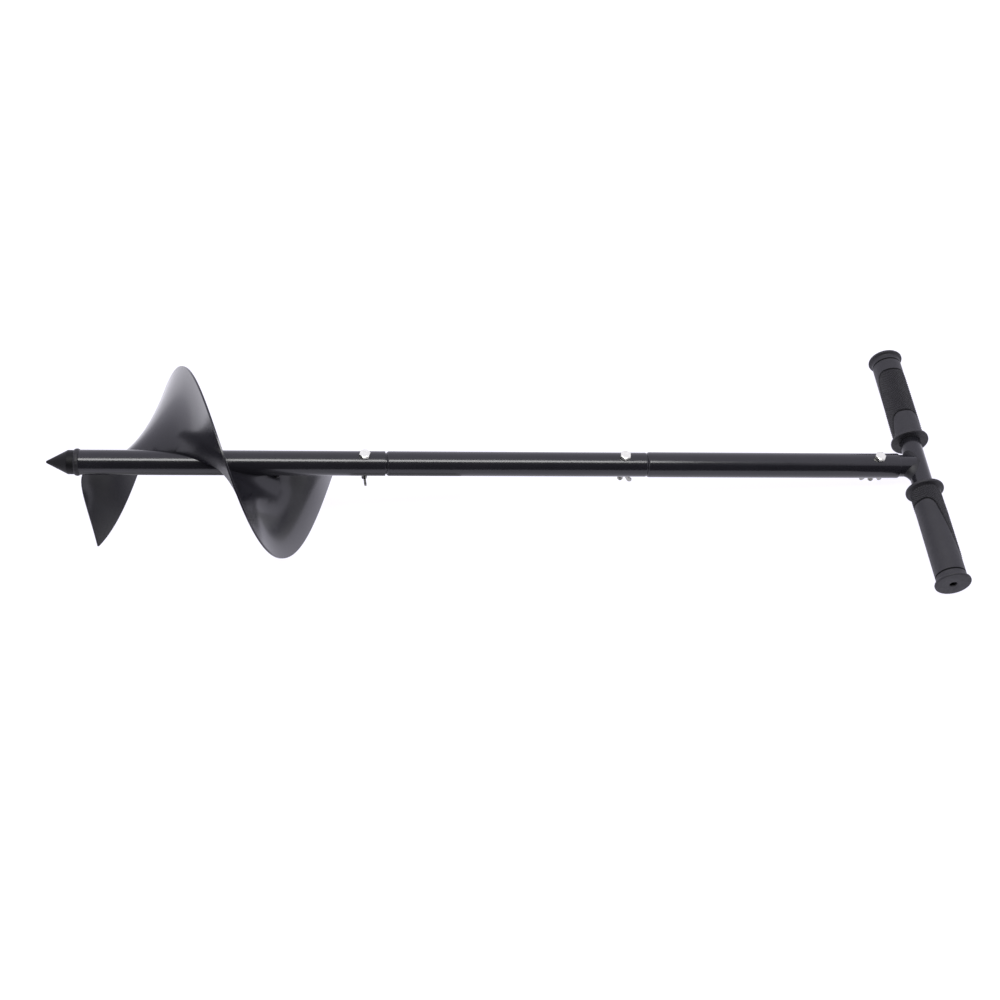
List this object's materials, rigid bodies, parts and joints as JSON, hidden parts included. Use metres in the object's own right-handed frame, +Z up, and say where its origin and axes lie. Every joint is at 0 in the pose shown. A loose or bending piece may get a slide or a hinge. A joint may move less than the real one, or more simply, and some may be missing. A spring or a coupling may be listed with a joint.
{
  "type": "soil auger",
  "caption": "Hand soil auger with a spiral flight behind a cone point, a take-apart tube shaft joined by bolts with wing nuts, and a T handle with rubber grips.",
  "frame": {"origin": "bottom centre of the auger's box as it lies on level ground", "axes": "+Z up; +X along the auger from the point towards the handle; Y along the crossbar; the shaft slopes down 6.86 degrees towards +X"},
  "size_m": [0.9188, 0.3038, 0.2054],
  "materials": {
    "powder_coat": "semi-gloss black powder coat",
    "point_coat": "matte black paint on forged steel",
    "grip_rubber": "matte moulded rubber",
    "zinc": "bright zinc plate"
  },
  "bodies": {
    "auger": {"auger_point": "point_coat", "point_weld": "powder_coat", "bit_tube": "powder_coat", "flight": "powder_coat", "flight_weld_1": "powder_coat", "flight_weld_2": "powder_coat", "flight_weld_3": "powder_coat", "flight_weld_4": "powder_coat", "flight_weld_5": "powder_coat", "flight_weld_6": "powder_coat", "lower_rod": "powder_coat", "upper_rod": "powder_coat", "handle_stem": "powder_coat", "crossbar": "powder_coat", "handle_weld": "powder_coat", "grip_front": "grip_rubber", "grip_back": "grip_rubber"},
    "bolt_1": {"bolt_1": "zinc"},
    "bolt_2": {"bolt_2": "zinc"},
    "bolt_3": {"bolt_3": "zinc"},
    "wing_nut_1": {"wing_nut_1": "zinc"},
    "wing_nut_2": {"wing_nut_2": "zinc"},
    "wing_nut_3": {"wing_nut_3": "zinc"}
  },
  "joints": [
    {"name": "bolt_1_spin", "type": "hinge", "parent": "auger", "child": "bolt_1", "pos_m": [-0.1451, 0, 0.09033], "axis": [0.1195, 0, 0.9928], "continuous": true},
    {"name": "bolt_2_spin", "type": "hinge", "parent": "auger", "child": "bolt_2", "pos_m": [0.12207, 0, 0.05818], "axis": [0.1195, 0, 0.9928], "continuous": true},
    {"name": "bolt_3_spin", "type": "hinge", "parent": "auger", "child": "bolt_3", "pos_m": [0.39441, 0, 0.02542], "axis": [0.1195, 0, 0.9928], "continuous": true},
    {"name": "wing_nut_1_spin", "type": "hinge", "parent": "bolt_1", "child": "wing_nut_1", "pos_m": [-0.1451, 0, 0.09033], "axis": [0.1195, 0, 0.9928], "continuous": true},
    {"name": "wing_nut_2_spin", "type": "hinge", "parent": "bolt_2", "child": "wing_nut_2", "pos_m": [0.12207, 0, 0.05818], "axis": [0.1195, 0, 0.9928], "continuous": true},
    {"name": "wing_nut_3_spin", "type": "hinge", "parent": "bolt_3", "child": "wing_nut_3", "pos_m": [0.39441, 0, 0.02542], "axis": [0.1195, 0, 0.9928], "continuous": true}
  ]
}
